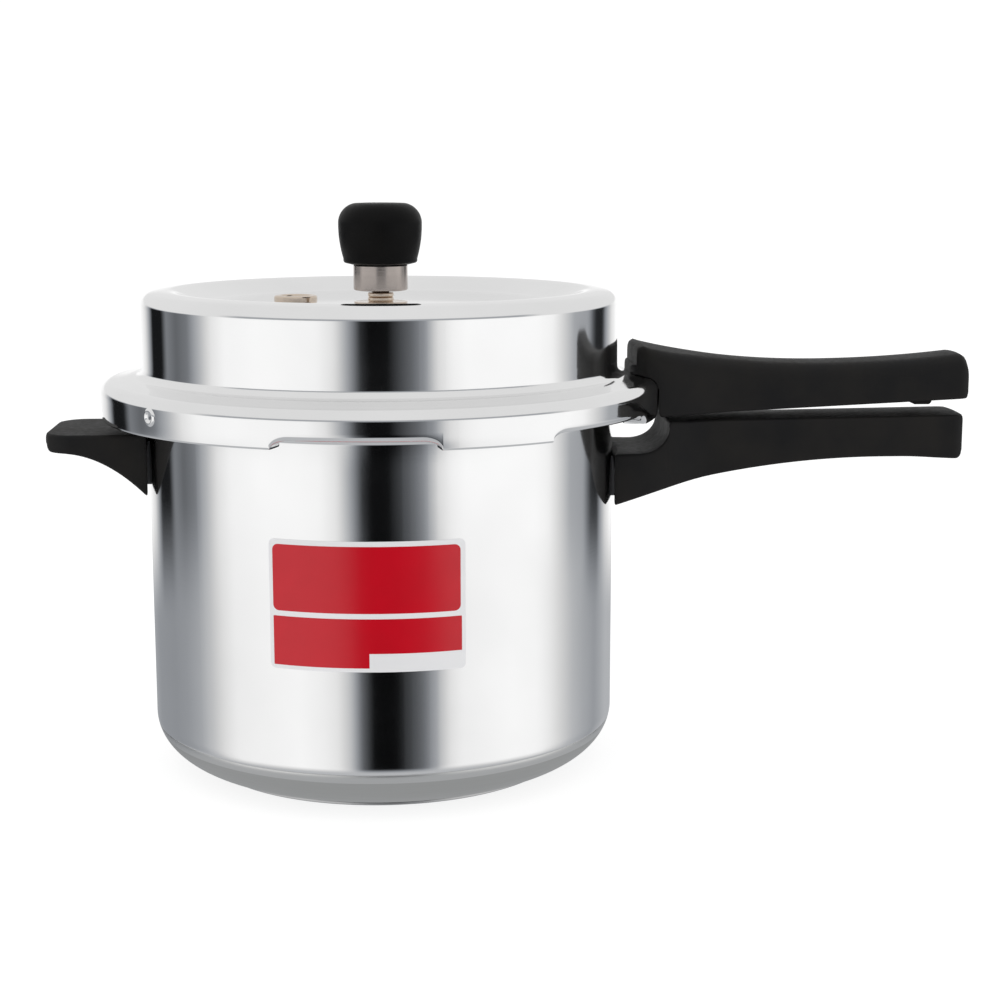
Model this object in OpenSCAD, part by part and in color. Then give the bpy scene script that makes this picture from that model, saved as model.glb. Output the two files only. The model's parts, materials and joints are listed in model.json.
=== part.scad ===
// Stovetop pressure cooker with an outer bayonet lid, about 5 litres.
// Origin: centre of the underside. +Z is up and +X runs along the long handles.

/* [Pot] */
// Outer radius of the pot wall
pot_r = 108; // [88:0.5:132]
// Height of the top face of the rim
pot_h = 169.2; // [138:0.2:206]
// Thickness of the pot wall
wall_t = 3; // [2.4:0.1:4]
// Thickness of the pot floor
floor_t = 3.6; // [2.4:0.1:6]
// Outside radius of the round corner between wall and floor
corner_r = 20; // [16:0.5:26]
// Thickness of the base plate
plate_t = 1.2; // [0.8:0.1:2]
// Width of the bare ledge between the base plate and the round corner
plate_ledge = 3.3; // [2:0.1:6]

/* [Rim and bayonet] */
// Thickness of the rim flange
flange_t = 2.5; // [2:0.1:3.2]
// Reach of the flange outside the wall, in the notches
notch_reach = 8.5; // [7:0.1:11]
// Further reach of the flange at its lugs
lug_reach = 7; // [5:0.1:9]
// Angle that one rim lug covers
lug_deg = 28; // [24:0.5:29]
// Angle that one gap in the lid's skirt covers
gap_deg = 30; // [29.5:0.5:31]
// Angle from one lug to the next
lug_pitch = 54.5; // [54:0.1:56]
// Number of rim lugs
lug_count = 6; // [6:1:6]
// Angle of the first gap of the lid, from +X
first_gap = -95; // [-98:1:-92]
// Turn that unlocks the lid
unlock_deg = 27.5; // [27:0.1:28]

/* [Lid] */
// Thickness of the lid's sheet
lid_t = 2.5; // [2:0.1:3]
// Clear space between the rim lugs and the skirt
skirt_gap = 3; // [2:0.1:5]
// Thickness of the lid's lugs
lip_t = 2.4; // [1.8:0.1:3]
// How much higher the skirt ends in its gaps
gap_raise = 3.5; // [3:0.1:4]
// Outside radius of the edge between skirt and shoulder
collar_edge_r = 5.5; // [4:0.1:7]
// Rise of the shoulder from its edge to the drum
shoulder_rise = 1.4; // [0.5:0.1:3]
// How far the drum's wall stands outside the pot wall
drum_step = 2; // [0:0.1:4]
// Height of the drum above the shoulder's edge
drum_h = 40.2; // [32:0.2:50]
// Outside radius of the drum's top edge
drum_edge_r = 6.7; // [5:0.1:9]
// Depth of the dished top below its rim
dish_depth = 6.5; // [4:0.1:8]
// Width of the sloping wall of the dish
dish_slope = 17; // [12:0.5:22]
// Length of the gasket release window
window_l = 20; // [14:0.5:24]
// Width of the gasket release window
window_w = 3; // [2:0.1:4]

/* [Gasket] */
// Height of the gasket
gasket_h = 9.2; // [7.6:0.1:11]
// Thickness of the gasket's two lips
gasket_lip_t = 2.2; // [1.6:0.1:2.6]
// Radial thickness of the gasket's outer band
gasket_band = 5; // [4:0.1:6]

/* [Vent and weight] */
// Outer radius of the vent tube
vent_r = 3.6; // [3:0.1:4.4]
// Radius of the vent tube's bore
vent_bore_r = 1.6; // [1.2:0.1:2]
// Radius of the vent tube's collar on the lid
vent_collar_r = 6; // [5:0.1:7.5]
// Height of the vent tube's collar
vent_collar_h = 4.6; // [3.8:0.1:5.4]
// Height of the vent tube above its collar
vent_stem_h = 17.4; // [15:0.1:21]
// Outer radius of the weight's steel body
weight_r = 12.6; // [11:0.1:15]
// Gap between the vent tube's collar and the weight
weight_lift_gap = 1; // [0.6:0.1:2]
// Visible height of the weight's steel body
weight_h = 11.6; // [9.6:0.1:14]
// Largest radius of the weight's knob
knob_r = 19.3; // [17:0.1:23]
// Height of the weight's knob
knob_h = 28.4; // [26:0.1:34]

/* [Safety plug] */
// Distance of the safety plug behind the middle of the lid
plug_y = 20.2; // [16:0.2:30]
// Distance of the safety plug to the left of the middle of the lid
plug_x = 40.2; // [34:0.2:48]
// Radius of the safety plug's flange
plug_r = 10.2; // [8.6:0.1:12]
// Radius of the safety plug's shank
plug_shank_r = 6; // [5:0.1:7]

/* [Long handles] */
// Length of the pot handle, from the pot wall to its tip
pot_handle_l = 167; // [140:1:202]
// Length of the lid handle, from the pot wall to its tip
lid_handle_l = 168.7; // [142:0.1:205]
// Half width of the handles along the grip
grip_half = 17.5; // [15:0.5:21]
// Half width of the pot handle's root
pot_root_half = 30; // [25:0.5:36]
// Half width of the lid handle's root
lid_root_half = 24; // [21:0.5:30]
// Depth of the pot handle's root below the top of the rim
pot_root_low = 48.3; // [42:0.1:54]
// Depth of the pot handle's low ledge below the top of the rim
pot_ledge_low = 22.4; // [19:0.2:26]
// Length of the low ledge, from the pot wall
pot_ledge_l = 24.5; // [20:0.5:29]
// Depth of the grip's top face below the top of the rim
pot_grip_low = 7.2; // [6.4:0.1:9]
// Thickness of the pot handle at its thinnest
pot_grip_t = 19.3; // [16:0.1:22]

/* [Helper handle] */
// Length of the helper handle, from the pot wall to its tip
helper_l = 45.6; // [39:0.1:56]
// Half width of the helper handle
helper_half = 30; // [25:0.5:36]
// Depth of the helper handle's top face below the top of the rim
helper_top_low = 11.4; // [9:0.2:15]
// Thickness of the helper handle near its tip
helper_tip_t = 7.3; // [6:0.1:9]
// Height of the helper handle at its root
helper_root_h = 27; // [24:0.5:32]

/* [Label] */
// Width of the front label, along the wall
label_w = 85.2; // [70:0.2:100]
// Height of the front label
label_h = 56.2; // [45:0.2:65]
// Height of the label's lower edge
label_z = 66.9; // [58:0.2:70]
// Angle of the label's middle from the front, towards +X
label_deg = -4; // [-10:0.1:10]

/* [Hidden] */
$fn = 96;

gap = 0.2; // clearance between pieces that don't touch
skin = 0.05; // clearance round a screw or rivet in its hole
rivet_r = 2.4;
rivet_head_r = 4;
rivet_head_h = 1.6;
screw_r = 2.5;
screw_head_r = 4.8;
screw_head_h = 3;
bracket_t = 2;
bracket_gap = 0.02; // between the wall and what is fixed on it
label_t = 0.2;

// Pot, from inside to outside and from the base up
inner_r = pot_r - wall_t;
floor_z = plate_t + floor_t;
plate_r = pot_r - corner_r - plate_ledge;
notch_r = pot_r + notch_reach;
lug_r = notch_r + lug_reach;
flange_z = pot_h - flange_t;
rim_fillet = 3.5;
rim_round = 6;

// Lid, from the skirt in
skirt_in = lug_r + skirt_gap;
collar_r = skirt_in + lid_t;
lip_top = flange_z - 0.3;
lip_z = lip_top - lip_t;
lip_in = notch_r + 1.5;
bead_in = skirt_in - 2;
bead_h = 2.5;
bead_z = lip_z + gap_raise;
shoulder_z = pot_h + 2 * gap + gasket_h + lid_t;
drum_r = pot_r + drum_step;
foot_r = 4;
top_z = shoulder_z + drum_h;
dish_z = top_z - dish_depth;
under_z = dish_z - lid_t;
crest_r = drum_r - drum_edge_r;
crest_run = 7; // from the end of the dish's slope to the crest
slope_top_z = top_z - 2.2;
dish_r = crest_r - crest_run - dish_slope;

window_deg = 165;
vent_shank_r = 4.5;
dimple_deg = -141;
dimple_z = lip_z + 9;
dimple_r = 3.7;
dimple_rise = 0.7;

// Weight, standing on the vent tube
vent_top = dish_z + vent_collar_h + vent_stem_h;
weight_z = dish_z + vent_collar_h + weight_lift_gap;
knob_z = weight_z + weight_h;
weight_bore = vent_r + 1.4;
spigot_r = 8;
spigot_h = 13;
clip_z = weight_z + 2;
clip_t = 1.6;
stud_r = 2.5;
knob_low_r = knob_r - 2.2;
knob_round = 9.2;

function arc(cx, cy, r, a0, a1, n = 8) =
    [for (i = [0:n]) [cx + r * cos(a0 + (a1 - a0) * i / n), cy + r * sin(a0 + (a1 - a0) * i / n)]];

// Points of a curve that bends from one end's height to the other like a parabola
function bend(x0, z0, x1, z1, n = 10) =
    [for (i = [0:n]) [x0 + (x1 - x0) * i / n, z1 + (z0 - z1) * pow(1 - i / n, 2)]];

// A revolved sector of a profile, about Z, centred on an angle
module sector(middle, width) {
    rotate([0, 0, middle - width / 2]) rotate_extrude(angle = width) children();
}

// A ring about Z
module ring(r_in, r_out, z0, z1) {
    difference() {
        translate([0, 0, z0]) cylinder(r = r_out, h = z1 - z0);
        translate([0, 0, z0 - 1]) cylinder(r = r_in, h = z1 - z0 + 2);
    }
}

// A flat outline in X and Z, as thick along Y as given on each side
module side_cut(points, half) {
    translate([0, half, 0]) rotate([90, 0, 0]) linear_extrude(height = 2 * half) polygon(points);
}

// An upright screw with its head down, its head's lower face at z0
module screw(x, y, z0, z1) {
    translate([x, y, z0]) cylinder(r = screw_head_r, h = screw_head_h);
    translate([x, y, z0 + screw_head_h]) cylinder(r = screw_r, h = z1 - z0 - screw_head_h);
}

// The room that a screw takes in a piece
module screw_hole(x, y, z0, z1, low) {
    translate([x, y, low]) cylinder(r = screw_head_r + gap, h = z0 + screw_head_h + skin - low);
    translate([x, y, z0]) cylinder(r = screw_r + skin, h = z1 - z0 + 0.5);
}

// ---- Pot ----

module pot_body() {
    color("gainsboro") {
        rotate_extrude() polygon(concat(
            [[0, plate_t]],
            arc(pot_r - corner_r, plate_t + corner_r, corner_r, -90, 0, 10),
            arc(pot_r + rim_fillet, flange_z - rim_fillet, rim_fillet, 180, 90, 5),
            [[notch_r, flange_z], [notch_r, pot_h]],
            arc(inner_r + rim_round, pot_h - rim_round, rim_round, 90, 180, 5),
            arc(pot_r - corner_r, plate_t + corner_r, corner_r - wall_t, 0, -90, 10),
            [[pot_r - corner_r - 2, floor_z], [0, floor_z]]));
        for (i = [0:lug_count - 1])
            sector(first_gap + unlock_deg + i * lug_pitch, lug_deg)
                translate([notch_r - 2, flange_z]) square([lug_reach + 2, flange_t]);
    }
}

module base_plate() {
    color("silver") cylinder(r = plate_r, h = plate_t);
}

module front_label() {
    half = label_w / pot_r * 90 / PI;
    color("crimson") sector(label_deg - 90, 2 * half)
        translate([pot_r + bracket_gap, label_z]) square([label_t, label_h]);
}

// Curved plate on the pot wall and a tongue that a handle slides over, pointing along +X
bracket_r = pot_r + bracket_gap;
tongue_half = 6;
tongue_t = 5;
module wall_bracket(z0, z1, half, tongue_z, reach, screw_x) {
    difference() {
        union() {
            intersection() {
                ring(bracket_r, bracket_r + bracket_t, z0, z1);
                translate([0, -half, z0]) cube([pot_r + 10, 2 * half, z1 - z0]);
            }
            translate([pot_r + 1, -tongue_half, tongue_z]) cube([reach - 1, 2 * tongue_half, tongue_t]);
        }
        cylinder(r = bracket_r, h = pot_h);
        for (x = screw_x)
            translate([x, 0, tongue_z - 1]) cylinder(r = screw_r + skin, h = tongue_t + 2);
        for (side = [-1, 1])
            rotate([0, 0, side * rivet_turn(half)]) translate([pot_r - 5, 0, (z0 + z1) / 2])
                rotate([0, 90, 0]) cylinder(r = rivet_r + skin, h = 20);
    }
}

function rivet_turn(half) = asin((half - 5) / pot_r);

// Room for a wall bracket in the root of a handle
module bracket_room(z0, z1, half, tongue_z, reach) {
    cylinder(r = bracket_r + bracket_t + gap, h = pot_h);
    translate([pot_r, -tongue_half - gap, tongue_z - gap])
        cube([reach + gap, 2 * (tongue_half + gap), tongue_t + 2 * gap]);
    for (side = [-1, 1])
        rotate([0, 0, side * rivet_turn(half)]) translate([pot_r, 0, (z0 + z1) / 2])
            rotate([0, 90, 0]) cylinder(r = rivet_head_r + 3 * gap, h = bracket_t + rivet_head_h + 2.4);
}

pot_bracket_half = 20;
pot_ledge_z = pot_h - pot_ledge_low;
pot_root_z = pot_h - pot_root_low;
pot_bracket_z = pot_root_z + 5.3;
pot_bracket_top = pot_ledge_z - 2.1;
pot_tongue_z = pot_ledge_z - tongue_t - 3;
pot_tongue_l = 38;
pot_screw_x = [pot_r + 14, pot_r + 30];

module pot_bracket() {
    color("darkgray") wall_bracket(pot_bracket_z, pot_bracket_top, pot_bracket_half,
        pot_tongue_z, pot_tongue_l, pot_screw_x);
}

// Underside of the pot handle: it rises from the root and flattens along the grip
under_back = 8;
under_run = 127;
under_low = pot_root_z;
under_crown = pot_h - pot_grip_low - pot_grip_t;
function under_z_at(x) =
    under_crown - (under_crown - under_low) * pow(1 - (x - pot_r + under_back) / (under_run + under_back), 2);
function pot_screw_z(x) = under_z_at(x) + 1.2;

grip_tip_r = 9;
pot_flare = 44;
lid_flare = 40;

// Outlines seen from above: wide at the root, narrow along the grip, round at the tip
function grip_plan(x0, root_half, flare, x1, tip) =
    let (side = concat(
        [[x0, root_half], [x0 + flare / 4, root_half]],
        [for (i = [1:10]) [x0 + flare / 4 + flare * i / 10,
            grip_half + (root_half - grip_half) * (1 + cos(18 * i)) / 2]],
        [[x1 - tip, grip_half]],
        arc(x1 - tip, grip_half - tip, tip, 90, 30, 4)))
    concat(side, [for (i = [len(side) - 1:-1:0]) [side[i][0], -side[i][1]]]);

module pot_handle() {
    tip = pot_r + pot_handle_l;
    grip_top = pot_h - pot_grip_low;
    fillet = min(11.5, grip_top - pot_ledge_z - 1);
    outline = concat(
        bend(pot_r - under_back, under_low, pot_r + under_run, under_crown, 14),
        [[tip - 4, under_crown - 1.3], [tip, under_crown + 2.5], [tip, grip_top - 2],
            [tip - 2, grip_top + 0.6]],
        [[pot_r + pot_ledge_l, grip_top - 1.2]],
        arc(pot_r + pot_ledge_l - fillet, pot_ledge_z + fillet, fillet, 0, -90, 6),
        [[pot_r - under_back, pot_ledge_z]]);
    color("dimgray") difference() {
        intersection() {
            side_cut(outline, pot_root_half + 1);
            linear_extrude(height = pot_h) 
                polygon(grip_plan(pot_r - under_back, pot_root_half, pot_flare, tip, grip_tip_r));
        }
        bracket_room(pot_bracket_z, pot_bracket_top, pot_bracket_half, pot_tongue_z, pot_tongue_l);
        for (x = pot_screw_x)
            screw_hole(x, 0, pot_screw_z(x), pot_tongue_z + tongue_t, under_low - 5);
    }
}

module pot_handle_screws() {
    color("silver") for (x = pot_screw_x)
        screw(x, 0, pot_screw_z(x), pot_tongue_z + tongue_t);
}

helper_top_z = pot_h - helper_top_low;
helper_low_z = helper_top_z - helper_root_h;
helper_round = 12;
helper_bracket_half = 17;
helper_bracket_z = helper_low_z + 2.4;
helper_bracket_top = helper_top_z - 4.6;
helper_tongue_z = helper_top_z - 11.6;
helper_tongue_l = 18;
helper_screw_x = [pot_r + 11];
helper_screw_z = helper_tongue_z - 7;

module helper_bracket() {
    color("darkgray") mirror([1, 0, 0]) wall_bracket(helper_bracket_z, helper_bracket_top,
        helper_bracket_half, helper_tongue_z, helper_tongue_l, helper_screw_x);
}

module helper_handle() {
    tip = pot_r + helper_l;
    crown = helper_top_z - helper_tip_t;
    outline = concat(
        bend(pot_r - under_back, helper_low_z - 5, tip - 8, crown, 12),
        arc(tip - 4.5, crown + 3.5, 3.5, -90, 0, 4),
        [[tip, helper_top_z - 1.5], [tip - 1.5, helper_top_z], [pot_r - under_back, helper_top_z]]);
    color("dimgray") mirror([1, 0, 0]) difference() {
        intersection() {
            side_cut(outline, helper_half + 1);
            linear_extrude(height = pot_h) polygon(concat(
                [[pot_r - under_back, -helper_half]],
                arc(tip - helper_round, helper_round - helper_half, helper_round, -90, 0, 6),
                arc(tip - helper_round, helper_half - helper_round, helper_round, 0, 90, 6),
                [[pot_r - under_back, helper_half]]));
        }
        bracket_room(helper_bracket_z, helper_bracket_top, helper_bracket_half,
            helper_tongue_z, helper_tongue_l);
        for (x = helper_screw_x)
            screw_hole(x, 0, helper_screw_z, helper_tongue_z + tongue_t, helper_low_z - 10);
    }
}

module helper_screws() {
    color("silver") mirror([1, 0, 0]) for (x = helper_screw_x)
        screw(x, 0, helper_screw_z, helper_tongue_z + tongue_t);
}

// A rivet whose head lies on a bracket and whose shank ends flush in the bracket's hole
module wall_rivets(z, half) {
    for (side = [-1, 1])
        rotate([0, 0, side * rivet_turn(half)]) translate([bracket_r + 0.3, 0, z])
            rotate([0, 90, 0]) {
                cylinder(r = rivet_r, h = bracket_t);
                translate([0, 0, bracket_t - 0.2]) cylinder(r = rivet_head_r, h = rivet_head_h);
            }
}

module bracket_rivets() {
    color("silver") {
        wall_rivets((pot_bracket_z + pot_bracket_top) / 2, pot_bracket_half);
        mirror([1, 0, 0])
            wall_rivets((helper_bracket_z + helper_bracket_top) / 2, helper_bracket_half);
    }
}

// ---- Lid ----

// The lid's section from the drum's axis out to the edge of the shoulder and down the skirt
module lid_section() {
    edge_c = collar_r - collar_edge_r;
    edge_in = collar_edge_r - lid_t;
    foot_c = drum_r + foot_r;
    foot_z = shoulder_z + shoulder_rise + foot_r;
    polygon(concat(
        [[0, dish_z], [dish_r, dish_z], [dish_r + dish_slope, slope_top_z]],
        arc(crest_r, top_z - drum_edge_r, drum_edge_r, 110, 0, 10),
        arc(foot_c, foot_z, foot_r, 180, 270, 5),
        arc(edge_c, shoulder_z - collar_edge_r, collar_edge_r, 90, 0, 6),
        arc(collar_r - bead_h, bead_z + bead_h, bead_h, 0, -90, 4),
        [[bead_in, bead_z], [bead_in, bead_z + 1.5], [skirt_in, bead_z + bead_h - 0.8]],
        arc(edge_c, shoulder_z - collar_edge_r, edge_in, 0, 90, 5),
        arc(foot_c, foot_z, foot_r + lid_t, 270, 180, 5),
        arc(crest_r, top_z - drum_edge_r, drum_edge_r - lid_t, 0, 110, 8),
        [[dish_r + dish_slope + 0.6, slope_top_z - lid_t], [dish_r + 0.4, under_z], [0, under_z]]));
}

module lid_shell() {
    wide_lug = 360 - lug_count * lug_pitch + lug_pitch - gap_deg;
    color("gainsboro") difference() {
        union() {
            rotate_extrude() lid_section();
            // Dimple pressed out of the skirt
            rotate([0, 0, dimple_deg]) translate([skirt_in + 1, 0, dimple_z])
                rotate([0, 90, 0]) cylinder(r = dimple_r, h = lid_t - 1 + dimple_rise);
            // Lugs below the edge, with their lips turned in under the rim
            for (i = [0:lug_count - 1]) {
                wide = i == lug_count - 1 ? wide_lug : lug_pitch - gap_deg;
                start = first_gap + gap_deg / 2 + i * lug_pitch;
                sector(start + wide / 2, wide) polygon([[lip_in, lip_z], [collar_r, lip_z],
                    [collar_r, bead_z + bead_h + 1], [collar_r - 0.7, bead_z + bead_h + 1],
                    [bead_in + 1, bead_z + 0.5], [bead_in + 1, lip_top], [lip_in, lip_top]]);
            }
        }
        translate([0, 0, under_z - 1]) cylinder(r = vent_shank_r + skin, h = lid_t + 2);
        translate([-plug_x, plug_y, under_z - 1]) cylinder(r = plug_shank_r + skin, h = lid_t + 2);
        // Gasket release window
        rotate([0, 0, window_deg]) translate([collar_r - 8.5, -window_l / 2, shoulder_z - 5])
            cube([window_w, window_l, 10]);
        for (side = [-1, 1])
            translate([lid_rivet_x, side * lid_rivet_y, pot_h]) cylinder(r = rivet_r + skin, h = 30);
    }
}

module gasket() {
    z0 = pot_h + gap;
    z1 = z0 + gasket_h;
    out = skirt_in - 0.3;
    in = drum_r + 2;
    slot = out - gasket_band;
    color("#303030") rotate_extrude() polygon([[in, z0], [out, z0], [out, z1 - 3], [out - 3, z1],
        [in + 5, z1], [in + 5, z1 - gasket_lip_t], [slot, z1 - gasket_lip_t - 0.6],
        [slot, z0 + gasket_lip_t + 0.6], [in, z0 + gasket_lip_t]]);
}

// Strap on the shoulder that holds the lid handle
lid_bracket_half = 11;
lid_bracket_z = shoulder_z + shoulder_rise - 0.35;
lid_bracket_x0 = drum_r + foot_r + 3;
lid_bracket_l = 37;
lid_rivet_x = lid_bracket_x0 + 3.8;
lid_rivet_y = 6;
lid_screw_x = [collar_r + 9, collar_r + 30];
lid_boss_r = 5;
lid_drop = 9;
strap_t = bracket_t + 0.4;

module lid_bracket() {
    x1 = collar_r + lid_bracket_l;
    color("darkgray") difference() {
        union() {
            translate([lid_bracket_x0, -lid_bracket_half, lid_bracket_z])
                cube([x1 - lid_bracket_x0, 2 * lid_bracket_half, strap_t]);
            for (x = lid_screw_x)
                translate([x, 0, lid_bracket_z - lid_drop]) cylinder(r = lid_boss_r, h = lid_drop + 1);
        }
        for (x = lid_screw_x)
            translate([x, 0, lid_bracket_z - lid_drop - 1]) cylinder(r = screw_r + skin, h = 30);
        for (side = [-1, 1])
            translate([lid_rivet_x, side * lid_rivet_y, pot_h]) cylinder(r = rivet_r + skin, h = 30);
    }
}

// Rivets through the strap and the shoulder, headed on the strap and flush underneath
module lid_rivets() {
    top = lid_bracket_z + strap_t;
    foot = shoulder_z - lid_t + shoulder_rise;
    color("silver") for (side = [-1, 1])
        translate([lid_rivet_x, side * lid_rivet_y, 0]) {
            translate([0, 0, foot]) cylinder(r = rivet_r, h = top - foot + 0.5);
            translate([0, 0, top]) cylinder(r = rivet_head_r, h = rivet_head_h);
        }
}

lid_screw_z = lip_z + 3;

module lid_handle() {
    tip = pot_r + lid_handle_l;
    root = drum_r + 5.4;
    foot = drum_r + 3.2;
    foot_top = shoulder_z + 5.3;
    waist_x = pot_r + 95;
    waist_z = shoulder_z + 5.7;
    root_z = waist_z + 8.9;
    tip_z = waist_z + 4;
    low = lip_z - 1.3;
    low_tip = low + 6.9;
    outline = concat(
        [[root, root_z - 1.5], [root + 2, root_z]],
        [for (i = [1:9]) let (f = i / 10) [root + 2 + (waist_x - root - 2) * f,
            waist_z + (root_z - waist_z) * pow(1 - f, 2)]],
        [for (i = [0:8]) let (f = i / 9) [waist_x + (tip - 3 - waist_x) * f,
            waist_z + (tip_z - waist_z) * f * f]],
        [[tip - 2, tip_z - 1], [tip, tip_z - 8], [tip - 0.5, low_tip + 3], [tip - 4, low_tip],
            [tip - 17, low_tip - 0.4], [tip - 18, low_tip - 1.7], [tip - 25, low_tip - 2],
            [tip - 26, low_tip - 0.9]],
        [[collar_r - 4, low + 0.2], [collar_r - 4, lid_bracket_z - 2], [foot, lid_bracket_z - 2],
            [foot, foot_top - 1], [foot + 1, foot_top], [root, foot_top]]);
    color("dimgray") difference() {
        intersection() {
            side_cut(outline, lid_root_half + 1);
            linear_extrude(height = top_z + 20)
                polygon(grip_plan(foot, lid_root_half, lid_flare, tip, grip_tip_r));
        }
        // Room for the collar, as the lid's own outline with a clearance
        rotate_extrude() polygon(concat(
            [[0, lip_z - 5], [collar_r + 0.4, lip_z - 5]],
            arc(collar_r - collar_edge_r, shoulder_z - collar_edge_r, collar_edge_r + 0.4, 0, 84, 6),
            [[drum_r + foot_r, shoulder_z + shoulder_rise + 0.4],
                [drum_r + 2, shoulder_z + shoulder_rise + 1.5],
                [drum_r + 1, shoulder_z + 30], [0, shoulder_z + 30]]));
        translate([lid_bracket_x0 - gap, -lid_bracket_half - gap, lid_bracket_z - gap])
            cube([collar_r + lid_bracket_l + 2 * gap - lid_bracket_x0, 2 * (lid_bracket_half + gap),
                strap_t + 2 * gap]);
        translate([lid_bracket_x0 - gap, -lid_bracket_half - gap, shoulder_z - 1])
            cube([collar_r - collar_edge_r - lid_bracket_x0, 2 * (lid_bracket_half + gap),
                lid_bracket_z - shoulder_z + 1]);
        translate([lid_rivet_x - rivet_head_r - gap, -lid_rivet_y - rivet_head_r - gap, lid_bracket_z])
            cube([2 * (rivet_head_r + gap), 2 * (lid_rivet_y + rivet_head_r + gap),
                strap_t + rivet_head_h + gap]);
        for (x = lid_screw_x) {
            screw_hole(x, 0, lid_screw_z, lid_bracket_z + bracket_t, low - 5);
            translate([x, 0, lid_bracket_z - lid_drop - gap]) cylinder(r = lid_boss_r + gap, h = lid_drop + 1);
        }
    }
}

module lid_handle_screws() {
    color("silver") for (x = lid_screw_x)
        screw(x, 0, lid_screw_z, lid_bracket_z + bracket_t);
}

// ---- Vent tube ----

vent_seat_r = 12.4;
vent_seat_t = 0.4;
vent_washer_t = 1;
vent_nut_t = 4;
vent_nut_r = 7;

module vent_tube() {
    groove_z = dish_z + vent_collar_h / 2;
    color("darkkhaki") difference() {
        union() {
            translate([0, 0, dish_z + vent_seat_t]) cylinder(r = vent_collar_r, h = vent_collar_h - vent_seat_t);
            translate([0, 0, dish_z]) cylinder(r = vent_r, h = vent_top - dish_z);
            translate([0, 0, under_z - vent_washer_t - vent_nut_t - 1])
                cylinder(r = vent_shank_r, h = lid_t + vent_washer_t + vent_nut_t + 1.5);
        }
        translate([0, 0, under_z - 20]) cylinder(r = vent_bore_r, h = 80);
        ring(vent_collar_r - 1, vent_collar_r + 1, groove_z - 0.5, groove_z + 0.5);
    }
}

// Brass washer between the tube's collar and the lid
module vent_seat() {
    color("tan") ring(vent_shank_r + skin, vent_seat_r, dish_z, dish_z + vent_seat_t);
}

module vent_washer() {
    color("gray") ring(vent_shank_r + skin, vent_nut_r, under_z - vent_washer_t, under_z);
}

module vent_nut() {
    color("darkkhaki") difference() {
        translate([0, 0, under_z - vent_washer_t - vent_nut_t]) cylinder(r = vent_nut_r, h = vent_nut_t, $fn = 6);
        translate([0, 0, under_z - 20]) cylinder(r = vent_shank_r + skin, h = 20);
    }
}

// ---- Safety plug ----

plug_washer_t = 1.2;
plug_nut_t = 4.5;
plug_nut_r = 9.5;
fuse_r = 3;

module at_plug() {
    translate([-plug_x, plug_y, 0]) children();
}

module safety_plug() {
    color("darkkhaki") at_plug() difference() {
        union() {
            translate([0, 0, dish_z]) cylinder(r = plug_r, h = 1.2);
            translate([0, 0, dish_z + 1.2]) cylinder(r1 = plug_r, r2 = plug_r - 1, h = 0.8);
            translate([0, 0, under_z - plug_washer_t - plug_nut_t - 0.5])
                cylinder(r = plug_shank_r, h = lid_t + plug_washer_t + plug_nut_t + 1);
        }
        translate([0, 0, dish_z + 1]) cylinder(r = plug_r - 3, h = 2);
        translate([0, 0, under_z - 20]) cylinder(r = fuse_r, h = 30);
    }
}

module safety_fuse() {
    color("lightslategray") at_plug() translate([0, 0, under_z - plug_washer_t - plug_nut_t])
        cylinder(r = fuse_r - skin, h = dish_z - under_z + plug_washer_t + plug_nut_t + 0.6);
}

module safety_washer() {
    color("#a03020") at_plug()
        ring(plug_shank_r + skin, plug_nut_r, under_z - plug_washer_t, under_z);
}

module safety_nut() {
    color("darkkhaki") at_plug() difference() {
        translate([0, 0, under_z - plug_washer_t - plug_nut_t]) cylinder(r = plug_nut_r, h = plug_nut_t, $fn = 6);
        translate([0, 0, under_z - 20]) cylinder(r = plug_shank_r + skin, h = 20);
    }
}

// ---- Weight ----

module weight_body() {
    color("silver") difference() {
        union() {
            translate([0, 0, weight_z]) cylinder(r = weight_r, h = weight_h);
            translate([0, 0, knob_z]) cylinder(r = spigot_r, h = spigot_h);
        }
        translate([0, 0, weight_z - 1]) cylinder(r = weight_bore, h = knob_z + spigot_h - weight_z - 2);
        translate([0, 0, knob_z + spigot_h - 4]) cylinder(r = stud_r + skin, h = 10);
        ring(weight_bore - 1, weight_bore + 0.8, clip_z, clip_z + clip_t + 2 * gap);
    }
}

// Spring ring that snaps under the weight and keeps it on the vent tube
module weight_clip() {
    color("dimgray") ring(vent_r + 0.3, weight_bore + 0.7, clip_z + gap, clip_z + gap + clip_t);
}

// Needle that closes the vent tube's bore
module weight_needle() {
    top = knob_z + spigot_h - 3;
    color("darkkhaki") {
        translate([0, 0, vent_top + skin]) cylinder(r = weight_bore - skin, h = top - vent_top - skin);
        translate([0, 0, vent_top - 2]) cylinder(r1 = 0.3, r2 = vent_bore_r - 0.25, h = 2.5);
    }
}

module weight_knob() {
    top = knob_z + knob_h;
    color("dimgray") difference() {
        rotate_extrude() polygon(concat(
            [[0, knob_z + 0.1], [weight_r, knob_z + 0.1], [knob_low_r - 1.6, knob_z + 0.9]],
            arc(knob_low_r - 1.4, knob_z + 2.3, 1.4, -75, 0, 4),
            [for (p = bend(knob_z + 3, knob_low_r, top - knob_round - 1, knob_r, 6)) [p[1], p[0]]],
            arc(knob_r - knob_round, top - knob_round, knob_round, 0, 88, 9),
            [[0, top]]));
        translate([0, 0, knob_z]) cylinder(r = spigot_r + skin, h = spigot_h + gap);
        translate([0, 0, knob_z + spigot_h]) cylinder(r = stud_r + skin, h = 9);
    }
}

// Threaded stud that joins the knob to the steel body
module weight_stud() {
    color("silver") translate([0, 0, knob_z + spigot_h - 2.9]) cylinder(r = stud_r, h = 11);
}

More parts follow.
